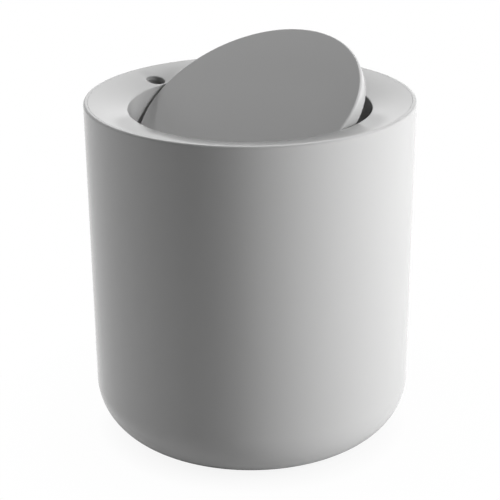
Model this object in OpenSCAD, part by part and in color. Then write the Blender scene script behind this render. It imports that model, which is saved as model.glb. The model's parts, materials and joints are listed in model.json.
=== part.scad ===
// Round countertop bin: a drum with a dished lift-off collar and a weighted swing lid.
// The origin is the centre of the base, +Z is up and +X runs along the lid's pivot axis.

/* [Drum] */
// Outside diameter of the drum at its rim
drum_d = 220; // [190:1:260]
// Height of the rim above the surface the bin stands on
drum_h = 236; // [190:1:290]
// Wall thickness of the drum
drum_wall = 4; // [3.5:0.1:5]
// Lean of the wall towards the bottom, in degrees
drum_draft = 0.43; // [0:0.01:1]
// Radius of the curve between the wall and the bottom
bottom_r = 38; // [20:1:45]
// Radius of the rounded rim
rim_r = 2.5; // [1:0.1:2.7]
// Thickness of the lip that stands round the collar
lip_t = 2.8; // [2.7:0.1:3.2]
// Depth of the step that carries the collar, below the rim
ledge_depth = 9; // [6:0.5:14]

/* [Underside] */
// Diameter of the shallow recess under the bottom
recess_d = 88; // [60:1:94]
// Depth of that recess
recess_depth = 1.2; // [0.5:0.1:2]
// Diameter of the moulding gate mark in the recess
gate_d = 5; // [3:0.5:8]
// Height of the gate mark
gate_h = 0.5; // [0.2:0.1:0.5]
// Diameter of a foot pad
foot_d = 14; // [10:0.5:15]
// Thickness of a foot pad
foot_t = 2; // [1.6:0.1:3]
// How far a foot pad stands out of its seat
foot_proud = 0.8; // [0.5:0.1:1.2]
// Distance of the foot pads from the centre
foot_place_r = 56; // [55:0.5:58]
// Gap round a foot pad in its seat
foot_gap = 0.2; // [0.1:0.05:0.4]

/* [Collar] */
// Gap between the collar and the lip of the drum
collar_gap = 0.2; // [0.1:0.05:0.4]
// Fall of the dished plate from the rim to the opening
dish_depth = 5.7; // [3:0.1:9]
// Thickness of the dished plate
plate_t = 3; // [2.5:0.1:3.2]
// Diameter of the opening
opening_d = 161.7; // [150:0.1:164]
// Radius of the edge of the opening
opening_edge_r = 1; // [0.5:0.1:1.4]
// Length of the throat below the opening
throat_len = 26; // [18:1:40]
// Wall thickness of the throat
throat_wall = 3; // [2.5:0.1:3.5]
// Thickness of the skirt that reaches into the drum
skirt_t = 2.4; // [1.8:0.1:3]
// Length of the skirt below the step of the drum
skirt_len = 15; // [8:1:24]
// Gap between the skirt and the wall of the drum
skirt_gap = 0.4; // [0.3:0.05:0.8]
// Number of ribs under the plate
rib_count = 12; // [6:2:18]
// Thickness of a rib
rib_t = 1.6; // [1.2:0.1:2.4]
// Height of the ribs below the plate at the throat
rib_h = 8; // [4:0.5:12]

/* [Finger hole] */
// Diameter of the finger hole
hole_d = 12.4; // [10:0.1:14]
// Width of the strip between the hole and the opening
hole_strip = 1.55; // [1.2:0.05:3]
// Wall of the short tube round the hole, under the plate
hole_wall = 2; // [1.2:0.1:3]
// Depth of that tube below the edge of the opening
hole_depth = 2.3; // [2.2:0.05:2.4]
// Width of the broken edge at the mouth of the hole
hole_chamfer = 0.5; // [0.2:0.1:0.8]

/* [Lid] */
// Angle of the lid from closed, as modelled, in degrees
lid_open = 30; // [0:1:60]
// Gap between the lid and the throat
lid_gap = 1.55; // [1.3:0.05:3]
// Height of the closed lid's face above the edge of the opening
lid_proud = 0.4; // [0:0.1:1]
// Thickness of the lid at its edge
lid_t = 10; // [9:0.1:13]
// Depth of the pivot axis below the face of the lid
pivot_drop = 5.7; // [5.4:0.1:6]
// Thickness of the lid's face
face_t = 2.4; // [1.8:0.1:2.6]
// Wall thickness of the lid's edge
edge_wall = 2.4; // [2:0.1:3]
// Radius between the face and the edge
face_edge_r = 2.5; // [1:0.1:3.5]
// Number of ribs inside the lid
lid_rib_count = 8; // [4:4:12]
// Thickness of those ribs
lid_rib_t = 1.6; // [1.2:0.1:2.4]
// Diameter of the round hub inside the lid, where the ribs meet
lid_hub_d = 38; // [24:1:50]
// Wall thickness of the hub
lid_hub_wall = 1.6; // [1.2:0.1:2.4]

/* [Lid base] */
// Thickness of the lid's base plate
base_t = 1.6; // [1.2:0.1:1.8]
// Depth of the base plate inside the edge of the lid
base_inset = 0.3; // [0.1:0.1:0.3]
// Width of the step that the base plate sits in
base_seat_w = 1; // [0.6:0.1:1.4]
// Gap round the base plate
base_gap = 0.2; // [0.1:0.05:0.4]
// Diameter of the ballast weight
ballast_d = 50; // [40:1:60]
// Thickness of the ballast weight
ballast_t = 8; // [4:0.5:12]
// Wall of the pocket that holds the ballast
pocket_wall = 1.6; // [1.2:0.1:2.4]
// Gap round the ballast in its pocket
pocket_gap = 0.2; // [0.1:0.05:0.4]
// Radius of the pocket's lower edge
pocket_edge_r = 1.5; // [0.5:0.1:1.6]

/* [Pivot] */
// Diameter of a pivot pin
pin_d = 3; // [2.6:0.1:3.2]
// Diameter of the head of a pivot pin
pin_head_d = 4.4; // [4:0.1:4.6]
// Thickness of that head
pin_head_t = 1.2; // [0.8:0.1:2]
// Length of the boss that grips a pin inside the lid
pin_grip = 11; // [8:0.5:16]
// Width of that boss
pin_boss_w = 8; // [6:0.5:12]
// Outside diameter of a pivot bush
bush_d = 5; // [4.6:0.1:5.2]
// Diameter of the flange of a bush
bush_flange_d = 7.6; // [6.6:0.1:8]
// Thickness of the flange of a bush
bush_flange_t = 0.8; // [0.7:0.1:1]
// How far the flange stands out of the throat's wall
bush_proud = 0.5; // [0.3:0.1:0.6]
// Depth of a pin's end inside its bush
pin_end_gap = 0.2; // [0.1:0.1:0.5]
// Running clearance round a pin in its bush
run_gap = 0.05; // [0.02:0.01:0.1]
// Clearance round a pin or bush that is pressed in
press_gap = 0.02; // [0.01:0.01:0.05]

/* [Hidden] */
// Small overlap that joins features of one piece, and overrun of a cut
weld = 0.5;
cut = 1;
// Broken edge on the hidden rims
edge_break = 0.5;
$fn = 96;

// Height of the bottom face, and the inclined wall line of the drum
base_z = foot_proud;
function wall_x(z) = drum_d / 2 - (drum_h - rim_r - z) * tan(drum_draft);
function inner_x(z) = wall_x(z) - drum_wall / cos(drum_draft);
// Centre of a circle of radius r that touches the outer wall line at height z
function touch_centre(z, r) = [wall_x(z) - r / cos(drum_draft), z];
function touch_point(c, r) = c + r * [cos(drum_draft), -sin(drum_draft)];
bottom_c = touch_centre(base_z + bottom_r, bottom_r);
rim_c = touch_centre(drum_h - rim_r, rim_r);
inner_bottom_r = bottom_r - drum_wall;
mouth_r = drum_d / 2 - lip_t;
ledge_z = drum_h - ledge_depth;
floor_z = base_z + drum_wall;

// Collar, from its outer edge to the throat
collar_r = mouth_r - collar_gap;
skirt_z = ledge_z - skirt_len;
skirt_r = inner_x(skirt_z) - skirt_gap;
skirt_in_r = skirt_r - skirt_t;
opening_r = opening_d / 2;
opening_z = drum_h - dish_depth;
dish_slope = atan(dish_depth / (collar_r - opening_r));
function plate_top(x) = opening_z + (x - opening_r) * tan(dish_slope);
function plate_under(x) = plate_top(x) - plate_t / cos(dish_slope);
throat_out_r = opening_r + throat_wall;
throat_z = opening_z - throat_len;
edge_c = [
    opening_r + opening_edge_r,
    plate_top(opening_r + opening_edge_r) - opening_edge_r / cos(dish_slope)
];
rib_z = plate_under(throat_out_r) - rib_h;
hole_r = hole_d / 2;
hole_x = opening_r + hole_strip + hole_r;
hole_z = opening_z - hole_depth;

// Lid, in its own frame with the pivot axis through the origin
pivot_z = opening_z + lid_proud - pivot_drop;
lid_r = opening_r - lid_gap;
lid_top = pivot_drop;
lid_bottom = lid_top - lid_t;
face_z = lid_top - face_t;
lid_in_r = lid_r - edge_wall;
seat_r = lid_in_r + base_seat_w;
base_bottom = lid_bottom + base_inset;
base_top = base_bottom + base_t;
base_r = seat_r - base_gap;
pocket_in_r = ballast_d / 2 + pocket_gap;
pocket_r = pocket_in_r + pocket_wall;
pocket_floor = base_top - ballast_t;
pocket_bottom = pocket_floor - pocket_wall;
hub_r = lid_hub_d / 2;
grip_x = lid_in_r - pin_grip;

// Pivot, along X
bush_seat_x = opening_r - bush_proud + bush_flange_t;
bush_in_x = opening_r - bush_proud;
pin_end_x = throat_out_r - pin_end_gap;

shell_grey = [0.80, 0.80, 0.79];
foot_grey = [0.55, 0.55, 0.54];
bush_white = [0.90, 0.90, 0.87];
steel_grey = [0.62, 0.63, 0.65];

// A cylinder along +X from x = a to x = b, on the pivot axis
module along_x(a, b, r) {
    translate([a, 0, 0]) rotate([0, 90, 0]) cylinder(r = r, h = b - a);
}

// Quarter disc about c that rounds a corner of a section, on the side of c that dir points to
module quarter_disc(c, r, dir) {
    intersection() {
        translate(c) circle(r);
        translate(c + r * [min(dir.x, 0), min(dir.y, 0)]) square(r);
    }
}

module at_each_foot() {
    for (i = [0:3]) rotate(45 + 90 * i) translate([foot_place_r, 0, 0]) children();
}

// Outer half section of the drum, solid to the axis
module drum_outline() {
    polygon([
        [0, base_z], [bottom_c.x, base_z], bottom_c, touch_point(bottom_c, bottom_r),
        touch_point(rim_c, rim_r), rim_c, [rim_c.x, drum_h], [0, drum_h]
    ]);
    translate(bottom_c) circle(bottom_r);
    translate(rim_c) circle(rim_r);
}

// Half section of the space inside, with the step for the collar
module drum_hollow() {
    polygon([
        [-cut, floor_z], [bottom_c.x, floor_z], bottom_c, touch_point(bottom_c, inner_bottom_r),
        [inner_x(ledge_z), ledge_z], [mouth_r, ledge_z], [mouth_r, drum_h + cut], [-cut, drum_h + cut]
    ]);
    translate(bottom_c) circle(inner_bottom_r);
}

module drum() {
    color(shell_grey) union() {
        difference() {
            rotate_extrude($fn = 180) difference() {
                intersection() {
                    drum_outline();
                    square([drum_d, drum_h]);
                }
                intersection() {
                    drum_hollow();
                    square([drum_d, drum_h + cut]);
                }
            }
            translate([0, 0, base_z - cut]) cylinder(d = recess_d, h = cut + recess_depth);
            at_each_foot() translate([0, 0, base_z - cut])
                cylinder(r = foot_d / 2 + foot_gap, h = cut + foot_t - foot_proud);
        }
        translate([0, 0, base_z + recess_depth - gate_h]) cylinder(d = gate_d, h = gate_h + weld);
    }
}

module foot_pad(i) {
    break = foot_proud / 2;
    color(foot_grey) rotate(45 + 90 * i) translate([foot_place_r, 0, 0]) rotate_extrude() polygon([
        [0, 0], [foot_d / 2 - break, 0], [foot_d / 2, break], [foot_d / 2, foot_t], [0, foot_t]
    ]);
}

module collar_section() {
    polygon([
        [opening_r, throat_z + edge_break], [opening_r, edge_c.y], edge_c,
        edge_c + opening_edge_r * [-sin(dish_slope), cos(dish_slope)],
        [collar_r, drum_h], [collar_r, ledge_z], [skirt_r, ledge_z], [skirt_r, skirt_z + edge_break],
        [skirt_r - edge_break, skirt_z], [skirt_in_r, skirt_z], [skirt_in_r, plate_under(skirt_in_r)],
        [throat_out_r, plate_under(throat_out_r)], [throat_out_r, throat_z],
        [opening_r + edge_break, throat_z]
    ]);
    translate(edge_c) circle(opening_edge_r);
}

module collar_rib() {
    a = throat_out_r - weld;
    b = skirt_in_r + weld;
    translate([0, rib_t / 2, 0]) rotate([90, 0, 0]) linear_extrude(rib_t)
        polygon([[a, rib_z], [b, rib_z], [b, plate_under(b) + weld], [a, plate_under(a) + weld]]);
}

// Seat of a bush in the throat's wall, at +X
module bush_seat() {
    translate([0, 0, pivot_z]) {
        along_x(opening_r - cut, throat_out_r + cut, bush_d / 2 + press_gap);
        along_x(opening_r - cut, bush_seat_x, bush_flange_d / 2 + press_gap);
    }
}

module collar() {
    color(shell_grey) difference() {
        union() {
            rotate_extrude($fn = 180) collar_section();
            for (i = [0:rib_count - 1]) rotate((i + 0.5) * 360 / rib_count) collar_rib();
            difference() {
                translate([-hole_x, 0, hole_z])
                    cylinder(r = hole_r + hole_wall, h = plate_under(hole_x) + weld - hole_z);
                translate([0, 0, hole_z - cut]) cylinder(r = opening_r + weld, h = drum_h, $fn = 180);
            }
        }
        translate([-hole_x, 0, hole_z - weld / 2]) cylinder(r = hole_r, h = drum_h);
        translate([-hole_x, 0, plate_top(hole_x)]) rotate([0, dish_slope, 0])
            translate([0, 0, -hole_chamfer])
                cylinder(r1 = hole_r, r2 = hole_r + 2 * hole_chamfer, h = 2 * hole_chamfer);
        bush_seat();
        mirror([1, 0, 0]) bush_seat();
    }
}

module pivot_bush() {
    color(bush_white) translate([0, 0, pivot_z]) difference() {
        union() {
            along_x(bush_in_x, bush_seat_x, bush_flange_d / 2);
            along_x(bush_in_x, throat_out_r, bush_d / 2);
        }
        along_x(bush_in_x - cut, throat_out_r + cut, pin_d / 2 + run_gap);
    }
}

// Puts a piece of the lid where it is when the lid stands open
module lid_place() {
    translate([0, 0, pivot_z]) rotate([lid_open, 0, 0]) children();
}

// Half section of the lid's shell: its outside, less the hollow and the step for the base plate
module lid_face_section() {
    edge_c = [lid_r - face_edge_r, lid_top - face_edge_r];
    difference() {
        union() {
            polygon([
                [0, lid_bottom], [0, lid_top], [edge_c.x, lid_top], edge_c, [lid_r, edge_c.y],
                [lid_r, lid_bottom + edge_break], [lid_r - edge_break, lid_bottom]
            ]);
            quarter_disc(edge_c, face_edge_r, [1, 1]);
        }
        translate([-cut, base_top - cut]) square([lid_in_r + cut, face_z - base_top + cut]);
        translate([-cut, lid_bottom - cut]) square([seat_r + cut, base_top - lid_bottom + cut]);
    }
}

module lid_rib() {
    translate([hub_r - weld, -lid_rib_t / 2, base_top])
        cube([lid_in_r - hub_r + 2 * weld, lid_rib_t, face_z - base_top + weld]);
}

module pin_boss() {
    translate([grip_x, -pin_boss_w / 2, base_top])
        cube([pin_grip + weld, pin_boss_w, face_z - base_top + weld]);
}

module lid_face() {
    color(shell_grey) lid_place() difference() {
        union() {
            rotate_extrude($fn = 180) lid_face_section();
            rotate_extrude() translate([hub_r - lid_hub_wall, base_top])
                square([lid_hub_wall, face_z - base_top + weld]);
            for (i = [0:lid_rib_count - 1]) rotate((i + 0.5) * 360 / lid_rib_count) lid_rib();
            pin_boss();
            mirror([1, 0, 0]) pin_boss();
        }
        along_x(grip_x - cut, lid_r + cut, pin_d / 2 + press_gap);
        mirror([1, 0, 0]) along_x(grip_x - cut, lid_r + cut, pin_d / 2 + press_gap);
    }
}

module lid_base() {
    edge_c = [pocket_r - pocket_edge_r, pocket_bottom + pocket_edge_r];
    color(shell_grey) lid_place() rotate_extrude($fn = 180) {
        polygon([
            [0, pocket_bottom], [edge_c.x, pocket_bottom], edge_c,
            [pocket_r, edge_c.y], [pocket_r, base_bottom], [base_r, base_bottom], [base_r, base_top],
            [pocket_in_r, base_top], [pocket_in_r, pocket_floor], [0, pocket_floor]
        ]);
        quarter_disc(edge_c, pocket_edge_r, [1, -1]);
    }
}

module lid_ballast() {
    r = ballast_d / 2;
    color(steel_grey) lid_place() rotate_extrude() polygon([
        [0, pocket_floor], [r - edge_break, pocket_floor], [r, pocket_floor + edge_break],
        [r, base_top - edge_break], [r - edge_break, base_top], [0, base_top]
    ]);
}

module pivot_pin() {
    color(steel_grey) lid_place() union() {
        along_x(grip_x - pin_head_t, grip_x, pin_head_d / 2);
        along_x(grip_x - pin_head_t, pin_end_x, pin_d / 2);
    }
}

drum();
foot_pad(0);  // foot_pad_1
foot_pad(1);  // foot_pad_2
foot_pad(2);  // foot_pad_3
foot_pad(3);  // foot_pad_4
collar();
mirror([1, 0, 0]) pivot_bush();  // pivot_bush_left
pivot_bush();  // pivot_bush_right
lid_face();
lid_base();
lid_ballast();
mirror([1, 0, 0]) pivot_pin();  // pivot_pin_left
pivot_pin();  // pivot_pin_right
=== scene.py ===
import json
import math
import bmesh
import bpy
from mathutils import Matrix, Vector


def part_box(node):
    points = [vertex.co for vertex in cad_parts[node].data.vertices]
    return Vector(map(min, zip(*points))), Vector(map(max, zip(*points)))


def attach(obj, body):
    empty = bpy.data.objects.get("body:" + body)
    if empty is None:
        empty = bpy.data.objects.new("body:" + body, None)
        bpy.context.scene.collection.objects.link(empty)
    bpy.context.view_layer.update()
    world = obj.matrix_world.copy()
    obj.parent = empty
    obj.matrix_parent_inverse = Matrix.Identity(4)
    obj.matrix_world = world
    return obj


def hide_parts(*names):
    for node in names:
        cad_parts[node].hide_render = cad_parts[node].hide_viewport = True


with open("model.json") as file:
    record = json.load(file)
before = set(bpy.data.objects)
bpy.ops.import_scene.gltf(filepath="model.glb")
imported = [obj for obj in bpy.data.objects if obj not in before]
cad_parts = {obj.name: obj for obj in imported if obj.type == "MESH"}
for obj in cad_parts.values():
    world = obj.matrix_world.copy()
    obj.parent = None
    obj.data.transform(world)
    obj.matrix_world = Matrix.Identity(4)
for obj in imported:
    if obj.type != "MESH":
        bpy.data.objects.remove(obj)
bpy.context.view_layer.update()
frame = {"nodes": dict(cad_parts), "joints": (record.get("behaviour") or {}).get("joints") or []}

scene = bpy.context.scene
mm = 0.001
latheSteps = 240  # round the large pieces
roundSteps = 96  # round the small ones
boreSteps = 64  # round seats and pins
sharpAngle = 28  # degrees, edges above it stay sharp
nodes = frame["nodes"]
hinge = next(joint for joint in frame["joints"] if joint["name"] == "lid_swing")
print("frame loaded,", len(nodes), "nodes")


# Camera, at the photograph's angle
photoView = {
    "aimHeight": 126.5,  # on the bin's axis, mm
    "distance": 1100,
    "azimuth": 42.3,  # 0 looks along +Y
    "elevation": 21.24,
    "roll": -0.41,
    "lens": 115.4,
    "sensor": 36.0,
    "shiftX": -0.0021,
    "shiftY": 0.0026,
}


def viewDirection(azimuth, elevation):
    # from the object towards an eye at these angles, in degrees
    a, e = math.radians(azimuth), math.radians(elevation)
    return Vector((math.sin(a) * math.cos(e), -math.cos(a) * math.cos(e), math.sin(e)))


def makeCamera(view):
    data = bpy.data.cameras.new("photoCamera")
    data.lens = view["lens"]
    data.sensor_width = view["sensor"]
    data.shift_x = view["shiftX"]
    data.shift_y = view["shiftY"]
    camera = bpy.data.objects.new("photoCamera", data)
    scene.collection.objects.link(camera)
    back = viewDirection(view["azimuth"], view["elevation"])
    camera.location = Vector((0, 0, view["aimHeight"] * mm)) + back * view["distance"] * mm
    turn = back.to_track_quat("Z", "Y").to_matrix().to_4x4()
    roll = Matrix.Rotation(math.radians(view["roll"]), 4, "Z")
    camera.rotation_euler = (turn @ roll).to_euler()
    scene.camera = camera


makeCamera(photoView)
scene.view_settings.view_transform = "Standard"
print("camera set")


# Shared tools for the finishes
def startMaterial(name, look):
    material = bpy.data.materials.new(name)
    material.use_nodes = True
    tree = material.node_tree
    shader = tree.nodes["Principled BSDF"]
    shader.inputs["Metallic"].default_value = look.get("metallic", 0.0)
    shader.inputs["IOR"].default_value = look.get("ior", 1.49)
    place = tree.nodes.new("ShaderNodeTexCoord").outputs["Object"]
    return material, tree, shader, place


def stretched(tree, place, scale):
    mapping = tree.nodes.new("ShaderNodeMapping")
    mapping.inputs["Scale"].default_value = scale
    tree.links.new(place, mapping.inputs["Vector"])
    return mapping.outputs["Vector"]


def noise(tree, place, scale, detail=2.0, roughness=0.5):
    node = tree.nodes.new("ShaderNodeTexNoise")
    node.inputs["Scale"].default_value = scale
    node.inputs["Detail"].default_value = detail
    node.inputs["Roughness"].default_value = roughness
    tree.links.new(place, node.inputs["Vector"])
    return node.outputs["Fac"]


def cells(tree, place, scale, feature="F1", output="Distance"):
    node = tree.nodes.new("ShaderNodeTexVoronoi")
    node.feature = feature
    node.inputs["Scale"].default_value = scale
    tree.links.new(place, node.inputs["Vector"])
    return node.outputs[output]


def ranged(tree, value, low, high, fromLow=0.0, fromHigh=1.0):
    node = tree.nodes.new("ShaderNodeMapRange")
    node.inputs["From Min"].default_value = fromLow
    node.inputs["From Max"].default_value = fromHigh
    node.inputs["To Min"].default_value = low
    node.inputs["To Max"].default_value = high
    tree.links.new(value, node.inputs["Value"])
    return node.outputs["Result"]


def added(tree, first, second, operation="ADD"):
    node = tree.nodes.new("ShaderNodeMath")
    node.operation = operation
    tree.links.new(first, node.inputs[0])
    tree.links.new(second, node.inputs[1])
    return node.outputs["Value"]


def shaded(tree, value, dark, light):
    # a colour that runs from dark to light as value goes from 0 to 1
    ramp = tree.nodes.new("ShaderNodeMix")
    ramp.data_type = "RGBA"
    ramp.inputs["A"].default_value = (*dark, 1)
    ramp.inputs["B"].default_value = (*light, 1)
    tree.links.new(value, ramp.inputs["Factor"])
    return ramp.outputs["Result"]


def bumped(tree, height, depth, normal=None):
    # depth is the height of the relief in metres
    bump = tree.nodes.new("ShaderNodeBump")
    bump.inputs["Strength"].default_value = 1.0
    bump.inputs["Distance"].default_value = depth
    tree.links.new(height, bump.inputs["Height"])
    if normal:
        tree.links.new(normal, bump.inputs["Normal"])
    return bump.outputs["Normal"]


# Moulded gloss plastic of the drum, the collar and the lid
shellLook = {
    "colour": (0.612, 0.612, 0.611),
    "shade": 0.975,  # darkest share of the colour in the cloudy part
    "cloudScale": 14,
    "roughness": (0.1, 0.14),
    "smearScale": 30,
    "peelScale": 420,
    "peelDepth": 0.000004,
    "swellScale": 22,
    "swellDepth": 0.00004,
    "scuffStretch": (9, 9, 160),
    "scuffScale": 6,
    "scuffBand": (0.6, 0.8),  # part of the pattern that shows as scuffs
    "scuffGain": 0.07,  # roughness that a scuff adds
}


def shellPlastic(name, look):
    material, tree, shader, place = startMaterial(name, look)
    cloud = noise(tree, place, look["cloudScale"], detail=4)
    dark = tuple(c * look["shade"] for c in look["colour"])
    tree.links.new(shaded(tree, cloud, dark, look["colour"]), shader.inputs["Base Color"])
    smear = ranged(tree, noise(tree, place, look["smearScale"], detail=5), *look["roughness"])
    streaks = stretched(tree, place, look["scuffStretch"])
    scuff = noise(tree, streaks, look["scuffScale"], detail=6, roughness=0.7)
    low, high = look["scuffBand"]
    scuffRough = ranged(tree, scuff, 0, look["scuffGain"], fromLow=low, fromHigh=high)
    tree.links.new(added(tree, smear, scuffRough), shader.inputs["Roughness"])
    swell = bumped(tree, noise(tree, place, look["swellScale"], detail=1), look["swellDepth"])
    peel = bumped(tree, noise(tree, place, look["peelScale"]), look["peelDepth"], normal=swell)
    tree.links.new(peel, shader.inputs["Normal"])
    return material


# Rubber of the foot pads, with a fine stipple
rubberLook = {
    "dark": (0.055, 0.055, 0.054),
    "light": (0.085, 0.084, 0.082),
    "roughness": (0.62, 0.82),
    "dustScale": 160,
    "stippleScale": 900,
    "stippleDepth": 0.00005,
    "ior": 1.52,
}


def footRubber(name, look):
    material, tree, shader, place = startMaterial(name, look)
    dust = noise(tree, place, look["dustScale"], detail=5)
    tree.links.new(shaded(tree, dust, look["dark"], look["light"]), shader.inputs["Base Color"])
    tree.links.new(ranged(tree, dust, *look["roughness"]), shader.inputs["Roughness"])
    stipple = cells(tree, place, look["stippleScale"])
    tree.links.new(bumped(tree, stipple, look["stippleDepth"]), shader.inputs["Normal"])
    return material


# Acetal of the pivot bushes
bushLook = {
    "dark": (0.66, 0.66, 0.62),
    "light": (0.74, 0.74, 0.70),
    "roughness": (0.34, 0.48),
    "hazeScale": 240,
    "grainScale": 700,
    "grainDepth": 0.00001,
    "ior": 1.48,
}


def bushPlastic(name, look):
    material, tree, shader, place = startMaterial(name, look)
    haze = noise(tree, place, look["hazeScale"], detail=3)
    tree.links.new(shaded(tree, haze, look["dark"], look["light"]), shader.inputs["Base Color"])
    tree.links.new(ranged(tree, haze, *look["roughness"]), shader.inputs["Roughness"])
    grain = noise(tree, place, look["grainScale"])
    tree.links.new(bumped(tree, grain, look["grainDepth"]), shader.inputs["Normal"])
    return material


# Steel: drawn wire for the pins, a zinc coat for the ballast
pinLook = {
    "dark": (0.44, 0.45, 0.46),
    "light": (0.62, 0.63, 0.64),
    "roughness": (0.2, 0.38),
    "drawScale": (30, 900, 900),
    "drawDepth": 0.000006,
    "metallic": 1.0,
    "ior": 2.5,
}


def drawnSteel(name, look):
    material, tree, shader, place = startMaterial(name, look)
    lines = noise(tree, stretched(tree, place, look["drawScale"]), 1, detail=4)
    tree.links.new(shaded(tree, lines, look["dark"], look["light"]), shader.inputs["Base Color"])
    tree.links.new(ranged(tree, lines, *look["roughness"]), shader.inputs["Roughness"])
    tree.links.new(bumped(tree, lines, look["drawDepth"]), shader.inputs["Normal"])
    return material


ballastLook = {
    "dark": (0.38, 0.39, 0.41),
    "light": (0.56, 0.57, 0.58),
    "roughness": (0.3, 0.5),
    "spangleScale": 170,
    "spangleBlend": 3,
    "grainScale": 900,
    "grainDepth": 0.00001,
    "metallic": 1.0,
    "ior": 2.5,
}


def zincSteel(name, look):
    material, tree, shader, place = startMaterial(name, look)
    flakes = cells(tree, place, look["spangleScale"], output="Color")
    spangle = noise(tree, flakes, look["spangleBlend"])
    tree.links.new(shaded(tree, spangle, look["dark"], look["light"]), shader.inputs["Base Color"])
    tree.links.new(ranged(tree, spangle, *look["roughness"]), shader.inputs["Roughness"])
    grain = noise(tree, place, look["grainScale"])
    tree.links.new(bumped(tree, grain, look["grainDepth"]), shader.inputs["Normal"])
    return material


shell = shellPlastic("shellPlastic", shellLook)
rubber = footRubber("footRubber", rubberLook)
acetal = bushPlastic("bushPlastic", bushLook)
pinSteel = drawnSteel("pinSteel", pinLook)
zinc = zincSteel("ballastSteel", ballastLook)
print("materials made")


# Shared tools for turned shapes
def setback(before, corner, after, radius):
    # how far from the corner a round of this radius starts
    return radius / math.tan((before - corner).angle(after - corner) / 2)


def turned(corners, steps=latheSteps):
    # corners: radius from the axis, height and rounding in mm, round a closed half section
    bm = bmesh.new()
    places = [Vector((x * mm, 0, z * mm)) for x, z, rounding in corners]
    verts = [bm.verts.new(place) for place in places]
    bm.faces.new(verts)
    for i, (x, z, rounding) in enumerate(corners):
        if rounding:
            after = places[(i + 1) % len(places)]
            bmesh.ops.bevel(
                bm, geom=[verts[i]], affect="VERTICES", offset_type="OFFSET", profile=0.5, material=-1,
                offset=setback(places[i - 1], places[i], after, rounding * mm),
                segments=3 + int(4 * math.sqrt(rounding)),
            )
    bmesh.ops.delete(bm, geom=bm.faces[:], context="FACES_ONLY")
    onAxis = [e for e in bm.edges if max(v.co.x for v in e.verts) < 1e-7]
    bmesh.ops.delete(bm, geom=onAxis, context="EDGES")
    bmesh.ops.spin(
        bm, geom=bm.verts[:] + bm.edges[:], cent=(0, 0, 0), axis=(0, 0, 1),
        angle=2 * math.pi, steps=steps, use_merge=True,
    )
    bmesh.ops.remove_doubles(bm, verts=bm.verts[:], dist=1e-6)
    bmesh.ops.recalc_face_normals(bm, faces=bm.faces[:])
    return bm


def moved(bm, matrix):
    bmesh.ops.transform(bm, matrix=matrix, verts=bm.verts[:])
    return bm


def gathered(parts):
    # one bmesh out of several
    whole = bmesh.new()
    for part in parts:
        mesh = bpy.data.meshes.new("part")
        part.to_mesh(mesh)
        part.free()
        whole.from_mesh(mesh)
        bpy.data.meshes.remove(mesh)
    return whole


def newObject(name, bm):
    mesh = bpy.data.meshes.new(name)
    bm.to_mesh(mesh)
    bm.free()
    made = bpy.data.objects.new(name, mesh)
    scene.collection.objects.link(made)
    return made


def carved(bm, tool, operation="DIFFERENCE"):
    # joins or cuts two closed shapes
    base, cutter = newObject("base", bm), newObject("tool", tool)
    modifier = base.modifiers.new("carve", "BOOLEAN")
    modifier.operation = operation
    modifier.solver = "EXACT"
    modifier.object = cutter
    result = bmesh.new()
    result.from_object(base, bpy.context.evaluated_depsgraph_get())
    for spent in (base, cutter):
        bpy.data.objects.remove(spent)
    bmesh.ops.remove_doubles(result, verts=result.verts[:], dist=1e-6)
    bmesh.ops.dissolve_degenerate(result, edges=result.edges[:], dist=1e-6)
    return result


def finishPiece(name, bm, material, body, replaced):
    piece = newObject(name, bm)
    piece.data.materials.append(material)
    piece.data.shade_smooth()
    piece.data.set_sharp_from_angle(angle=math.radians(sharpAngle))
    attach(piece, body)
    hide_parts(replaced)
    print(name, len(piece.data.polygons), "faces")
    return piece


def upright(x, y, z):
    return Matrix.Translation((x * mm, y * mm, z * mm))


def along(x, z):
    # lays a shape turned about Z along +X, from x, at height z
    return upright(x, 0, z) @ Matrix.Rotation(math.radians(90), 4, "Y")


# Drum
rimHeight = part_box("drum")[1].z / mm
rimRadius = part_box("drum")[1].x / mm
drumShape = {
    "base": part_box("drum")[0].z / mm,
    "wall": 4.0,
    "draft": 0.43,  # degrees
    "bottomRound": 38,
    "rimRound": 1.6,
    "lip": 2.8,
    "ledgeDepth": 9,
    "lipEdge": 0.1,
    "recessRadius": 44,
    "recessDepth": 1.2,
    "gateRadius": 2.5,
    "gateHeight": 0.5,
    "seatRadius": 7.2,
    "seatDepth": 1.2,
    "seatPlace": 56,
}
ledgeHeight = rimHeight - drumShape["ledgeDepth"]
mouthRadius = rimRadius - drumShape["lip"]


def outerWall(z):
    return rimRadius - (rimHeight - drumShape["rimRound"] - z) * math.tan(math.radians(drumShape["draft"]))


def innerWall(z):
    return outerWall(z) - drumShape["wall"]


def footTurn(i):
    # the feet stand on the diagonals
    return Matrix.Rotation(math.radians(45 + 90 * i), 4, "Z")


def makeDrum(s):
    base, edge = s["base"], s["lipEdge"]
    recess = base + s["recessDepth"]
    floor = base + s["wall"]
    gate = recess - s["gateHeight"]
    bm = turned([
        (0, gate, 0), (s["gateRadius"], gate, 0.15), (s["gateRadius"], recess, 0.15),
        (s["recessRadius"], recess, 0.3), (s["recessRadius"], base, 0.3),
        (outerWall(base), base, s["bottomRound"]), (outerWall(rimHeight), rimHeight, s["rimRound"]),
        (mouthRadius, rimHeight, edge), (mouthRadius, ledgeHeight, edge),
        (innerWall(ledgeHeight), ledgeHeight, edge),
        (innerWall(floor), floor, s["bottomRound"] - s["wall"]), (0, floor, 0),
    ])
    seats = []
    for i in range(4):
        place = footTurn(i) @ upright(s["seatPlace"], 0, base)
        seat = turned([
            (0, -1, 0), (s["seatRadius"], -1, 0),
            (s["seatRadius"], s["seatDepth"], 0.2), (0, s["seatDepth"], 0),
        ], steps=boreSteps)
        seats.append(moved(seat, place))
    bm = carved(bm, gathered(seats))
    finishPiece("drumShell", bm, shell, "drum_body", "drum")


makeDrum(drumShape)


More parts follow.
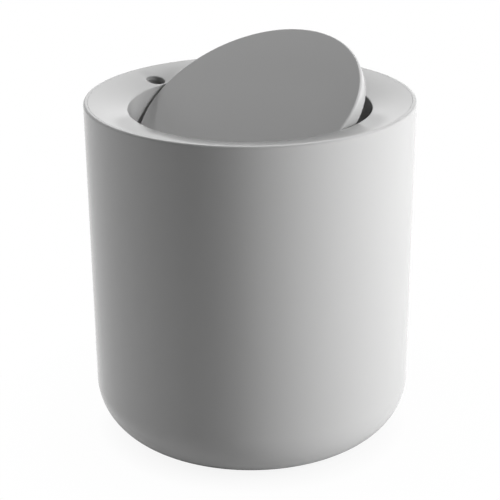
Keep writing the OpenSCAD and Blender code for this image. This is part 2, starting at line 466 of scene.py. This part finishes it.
# Foot pads
footShape = {
    "radius": 7,
    "thickness": 2,
    "edge": 0.4,
    "grooveIn": 3.2,
    "grooveOut": 4.6,
    "grooveDepth": 0.35,
    "grooveSlope": 0.3,
    "fineEdge": 0.15,
}


def makeFoot(number, s):
    groove, slope, fine = s["grooveDepth"], s["grooveSlope"], s["fineEdge"]
    bm = turned([
        (0, 0, 0), (s["grooveIn"], 0, fine), (s["grooveIn"] + slope, groove, fine),
        (s["grooveOut"] - slope, groove, fine), (s["grooveOut"], 0, fine),
        (s["radius"], 0, s["edge"]), (s["radius"], s["thickness"], fine), (0, s["thickness"], 0),
    ], steps=roundSteps)
    moved(bm, footTurn(number - 1) @ upright(drumShape["seatPlace"], 0, 0))
    finishPiece(f"footPad{number}", bm, rubber, "drum_body", f"foot_pad_{number}")


for number in range(1, 5):
    makeFoot(number, footShape)


# Collar: dished plate, throat, skirt, ribs, finger hole and pivot seats
collarShape = {
    "gap": 0.06,
    "dishDepth": 5.7,
    "plate": 3.0,
    "openingRadius": 80.85,
    "openingEdge": 1.0,
    "throatLength": 26,
    "throatWall": 3.0,
    "skirt": 2.4,
    "skirtLength": 15,
    "skirtGap": 0.4,
    "edge": 0.1,
    "fillet": 0.8,
    "ribs": 12,
    "rib": 1.6,
    "ribHeight": 8,
    "weld": 0.5,
}
holeShape = {
    "radius": 6.5,
    "strip": 1.3,  # between the hole and the opening
    "wall": 1.7,
    "depth": 2.3,
    "round": 0.6,
    "inset": 0.05,
}
bushShape = {
    "radius": 2.52,
    "flangeRadius": 3.82,
    "flangeDepth": 0.3,
    "length": 5,
}
collarRadius = mouthRadius - collarShape["gap"]
openingRadius = collarShape["openingRadius"]
openingHeight = rimHeight - collarShape["dishDepth"]
throatOut = openingRadius + collarShape["throatWall"]
dishSlope = math.atan(collarShape["dishDepth"] / (collarRadius - openingRadius))
holePlace = openingRadius + holeShape["strip"] + holeShape["radius"]
pivotHeight = hinge["pos_m"][2] / mm


def plateTop(x):
    return openingHeight + (x - openingRadius) * math.tan(dishSlope)


def plateUnder(x):
    return plateTop(x) - collarShape["plate"] / math.cos(dishSlope)


def collarRibs(s, skirtIn):
    ribs = []
    low = plateUnder(throatOut) - s["ribHeight"]
    near, far = throatOut - s["weld"], skirtIn + s["weld"]
    for i in range(s["ribs"]):
        rib = bmesh.new()
        outline = [(near, low), (far, low), (far, plateUnder(far) + 1), (near, plateUnder(near) + 1)]
        face = rib.faces.new([rib.verts.new((x * mm, -s["rib"] / 2 * mm, z * mm)) for x, z in outline])
        grown = bmesh.ops.extrude_face_region(rib, geom=[face])["geom"]
        tops = [v for v in grown if isinstance(v, bmesh.types.BMVert)]
        bmesh.ops.translate(rib, verts=tops, vec=(0, s["rib"] * mm, 0))
        bmesh.ops.recalc_face_normals(rib, faces=rib.faces[:])
        ribs.append(moved(rib, Matrix.Rotation(math.radians((i + 0.5) * 360 / s["ribs"]), 4, "Z")))
    return gathered(ribs)


def holeTube(s):
    # short tube under the plate, cut back to the throat's wall
    low, high = openingHeight - s["depth"], plateUnder(holePlace) + 1
    outer = s["radius"] + s["wall"]
    tube = turned([(0, low, 0), (outer, low, 0.3), (outer, high, 0), (0, high, 0)], steps=roundSteps)
    moved(tube, upright(-holePlace, 0, 0))
    throat = openingRadius + 1
    clear = turned([(0, low - 2, 0), (throat, low - 2, 0), (throat, high + 4, 0), (0, high + 4, 0)])
    return carved(tube, clear)


def holeTools(s):
    # the bore, and a flared tool that rounds its mouth on the sloping plate
    low, high = openingHeight - s["depth"] - 1, rimHeight + 5
    reach = s["radius"]
    bore = turned([(0, low, 0), (reach, low, 0), (reach, high, 0), (0, high, 0)], steps=128)
    moved(bore, upright(-holePlace, 0, 0))
    neck = reach - s["inset"]
    wide = neck + s["round"] + 0.6
    flare = turned([
        (0, -2, 0), (neck, -2, 0), (neck, -0.04, s["round"]), (wide, 0.1, 0), (wide, 2, 0), (0, 2, 0),
    ], steps=128)
    bmesh.ops.scale(flare, vec=(1 / math.cos(dishSlope), 1, 1), verts=flare.verts[:])
    tilt = Matrix.Rotation(dishSlope, 4, "Y")
    return bore, moved(flare, upright(-holePlace, 0, plateTop(holePlace)) @ tilt)


def bushSeats(s):
    seats = []
    for side in (0, 180):
        seat = turned([
            (0, -2, 0), (s["flangeRadius"], -2, 0), (s["flangeRadius"], s["flangeDepth"], 0.1),
            (s["radius"], s["flangeDepth"], 0), (s["radius"], s["length"], 0), (0, s["length"], 0),
        ], steps=boreSteps)
        turn = Matrix.Rotation(math.radians(side), 4, "Z")
        seats.append(moved(seat, turn @ along(openingRadius, pivotHeight)))
    return gathered(seats)


def makeCollar(s):
    edge = s["edge"]
    throatLow = openingHeight - s["throatLength"]
    skirtLow = ledgeHeight - s["skirtLength"]
    skirtOut = innerWall(skirtLow) - s["skirtGap"]
    skirtIn = skirtOut - s["skirt"]
    bm = turned([
        (openingRadius, throatLow, 0.5), (openingRadius, openingHeight, s["openingEdge"]),
        (collarRadius, rimHeight, edge), (collarRadius, ledgeHeight, edge),
        (skirtOut, ledgeHeight, edge), (skirtOut, skirtLow, 0.5), (skirtIn, skirtLow, 0.5),
        (skirtIn, plateUnder(skirtIn), s["fillet"]), (throatOut, plateUnder(throatOut), s["fillet"]),
        (throatOut, throatLow, edge),
    ])
    bm = carved(bm, collarRibs(s, skirtIn), "UNION")
    bm = carved(bm, holeTube(holeShape), "UNION")
    bore, flare = holeTools(holeShape)
    bm = carved(bm, bore)
    bm = carved(bm, flare)
    bm = carved(bm, bushSeats(bushShape))
    finishPiece("collarShell", bm, shell, "collar_body", "collar")


makeCollar(collarShape)


# Lid: hollow disc with a base plate, in its own frame with the pivot axis at zero height
lidShape = {
    "open": 30,  # degrees from closed, as the frame stands
    "radius": 79.1,
    "top": 5.42,
    "bottom": -4.3,
    "faceRound": 1.6,
    "wall": 2.4,
    "seatWidth": 1.0,
    "plateTop": -2.4,
    "plateBottom": -4.0,
    "plateGap": 0.2,
    "pocketRadius": 25.2,
    "pocketWall": 1.6,
    "pocketDepth": 8.0,
    "pocketRound": 1.5,
    "pinRadius": 1.52,
}
lidPlace = upright(0, 0, pivotHeight) @ Matrix.Rotation(math.radians(lidShape["open"]), 4, "X")


def makeLidFace(s):
    inner = s["radius"] - s["wall"]
    seat = inner + s["seatWidth"]
    under = s["top"] - s["wall"]
    bm = turned([
        (0, s["top"], 0), (s["radius"], s["top"], s["faceRound"]), (s["radius"], s["bottom"], 0.5),
        (seat, s["bottom"], 0.15), (seat, s["plateTop"], 0), (inner, s["plateTop"], 0),
        (inner, under, 0.3), (0, under, 0),
    ])
    reach = s["radius"] + 2
    pin = s["pinRadius"]
    pinHole = turned([(0, -reach, 0), (pin, -reach, 0), (pin, reach, 0), (0, reach, 0)], steps=48)
    bm = moved(carved(bm, moved(pinHole, along(0, 0))), lidPlace)
    finishPiece("lidShell", bm, shell, "lid_body", "lid_face")


def makeLidBase(s):
    outer = s["radius"] - s["wall"] + s["seatWidth"] - s["plateGap"]
    pocket = s["pocketRadius"] + s["pocketWall"]
    pocketFloor = s["plateTop"] - s["pocketDepth"]
    pocketLow = pocketFloor - s["pocketWall"]
    bm = turned([
        (0, pocketLow, 0), (pocket, pocketLow, s["pocketRound"]), (pocket, s["plateBottom"], 0.8),
        (outer, s["plateBottom"], 0.25), (outer, s["plateTop"], 0.15),
        (s["pocketRadius"], s["plateTop"], 0.2), (s["pocketRadius"], pocketFloor, 0.2), (0, pocketFloor, 0),
    ])
    finishPiece("lidBasePlate", moved(bm, lidPlace), shell, "lid_body", "lid_base")


makeLidFace(lidShape)
makeLidBase(lidShape)


# Inner pieces that keep their frame shape
def dress(node, material):
    nodes[node].data.materials.clear()
    nodes[node].data.materials.append(material)


dress("lid_ballast", zinc)
for side in ("left", "right"):
    dress(f"pivot_pin_{side}", pinSteel)
    dress(f"pivot_bush_{side}", acetal)
print("inner pieces dressed")


# Floor, world and lamps
studio = {
    "floorRadius": 6.0,
    "floorColour": (0.66, 0.66, 0.66),
    # share of plain white in the floor by the distance from the axis in metres, as seen and as mirrored
    "floorSeen": ((0.070, 0.0), (0.079, 0.88), (0.11, 0.985), (0.2, 1.0)),
    "floorMirrored": ((0.085, 0.0), (0.118, 0.85), (0.15, 0.97), (0.3, 1.0)),
    "ambient": 0.0,
}
# azimuth from the camera and elevation in degrees, distance, width and height in metres, power in watts
lamps = [
    {
        "name": "keyRight", "azimuth": 72, "elevation": 13, "distance": 1.2,
        "size": (0.45, 0.9), "power": 15.0, "mirrored": False,
    },
    {
        "name": "fillLeft", "azimuth": -97, "elevation": 13, "distance": 1.2,
        "size": (1.1, 1.0), "power": 4.7, "mirrored": False,
    },
    {
        "name": "backRight", "azimuth": 150, "elevation": 60, "distance": 1.3,
        "size": (0.8, 0.8), "power": 4.6, "mirrored": True,
    },
    {
        "name": "backMiddle", "azimuth": 180, "elevation": 30, "distance": 1.3,
        "size": (0.8, 0.8), "power": 1.65, "mirrored": True,
    },
    {
        "name": "backLeft", "azimuth": -120, "elevation": 45, "distance": 1.3,
        "size": (0.8, 0.8), "power": 0.4, "mirrored": True,
    },
]


def whiteRay(tree):
    # 1 for the rays that show the backdrop: camera, glossy and transmission
    path = tree.nodes.new("ShaderNodeLightPath")
    seen = added(tree, path.outputs["Is Camera Ray"], path.outputs["Is Glossy Ray"], "MAXIMUM")
    return added(tree, seen, path.outputs["Is Transmission Ray"], "MAXIMUM")


def plainShare(tree, stops):
    # rises away from the axis, so that the shadow shows round the foot
    place = tree.nodes.new("ShaderNodeTexCoord").outputs["Object"]
    reach = tree.nodes.new("ShaderNodeVectorMath")
    reach.operation = "LENGTH"
    tree.links.new(place, reach.inputs[0])
    far = stops[-1][0]
    ramp = tree.nodes.new("ShaderNodeValToRGB")
    tree.links.new(ranged(tree, reach.outputs["Value"], 0, 1, fromHigh=far), ramp.inputs["Fac"])
    elements = ramp.color_ramp.elements
    for i, (distance, share) in enumerate(stops):
        stop = elements[i] if i < 2 else elements.new(distance / far)
        stop.position = distance / far
        stop.color = (share, share, share, 1)
    return ramp.outputs["Color"]


def makeFloor(s):
    bm = bmesh.new()
    bmesh.ops.create_circle(bm, cap_ends=True, radius=s["floorRadius"], segments=96)
    floor = newObject("floor", bm)
    material = bpy.data.materials.new("floorPaper")
    material.use_nodes = True
    tree = material.node_tree
    paper = tree.nodes["Principled BSDF"]
    paper.inputs["Base Color"].default_value = (*s["floorColour"], 1)
    paper.inputs["Roughness"].default_value = 0.9
    paper.inputs["Specular IOR Level"].default_value = 0.0
    white = tree.nodes.new("ShaderNodeEmission")
    white.inputs["Strength"].default_value = 1.0
    mix = tree.nodes.new("ShaderNodeMixShader")
    path = tree.nodes.new("ShaderNodeLightPath").outputs
    seen = added(tree, path["Is Camera Ray"], plainShare(tree, s["floorSeen"]), "MULTIPLY")
    others = added(tree, path["Is Glossy Ray"], path["Is Transmission Ray"], "MAXIMUM")
    mirrored = added(tree, others, plainShare(tree, s["floorMirrored"]), "MULTIPLY")
    tree.links.new(added(tree, seen, mirrored, "MAXIMUM"), mix.inputs["Fac"])
    tree.links.new(paper.outputs["BSDF"], mix.inputs[1])
    tree.links.new(white.outputs["Emission"], mix.inputs[2])
    tree.links.new(mix.outputs["Shader"], tree.nodes["Material Output"].inputs["Surface"])
    floor.data.materials.append(material)


def makeWorld(s):
    world = bpy.data.worlds.new("studio")
    scene.world = world
    world.use_nodes = True
    tree = world.node_tree
    background = tree.nodes["Background"]
    ambient = (s["ambient"],) * 3
    tree.links.new(shaded(tree, whiteRay(tree), ambient, (1, 1, 1)), background.inputs["Color"])
    background.inputs["Strength"].default_value = 1.0


def makeLamp(lamp):
    data = bpy.data.lights.new(lamp["name"], "AREA")
    data.shape = "RECTANGLE"
    data.size, data.size_y = lamp["size"]
    data.energy = lamp["power"]
    light = bpy.data.objects.new(lamp["name"], data)
    scene.collection.objects.link(light)
    light.visible_glossy = lamp["mirrored"]  # the strong ones would burn out the ring
    towards = viewDirection(photoView["azimuth"] + lamp["azimuth"], lamp["elevation"])
    aim = Vector((0, 0, photoView["aimHeight"] * mm))
    light.location = aim + towards * lamp["distance"]
    light.rotation_euler = towards.to_track_quat("Z", "Y").to_euler()


makeFloor(studio)
makeWorld(studio)
for lamp in lamps:
    makeLamp(lamp)
print("studio lit")
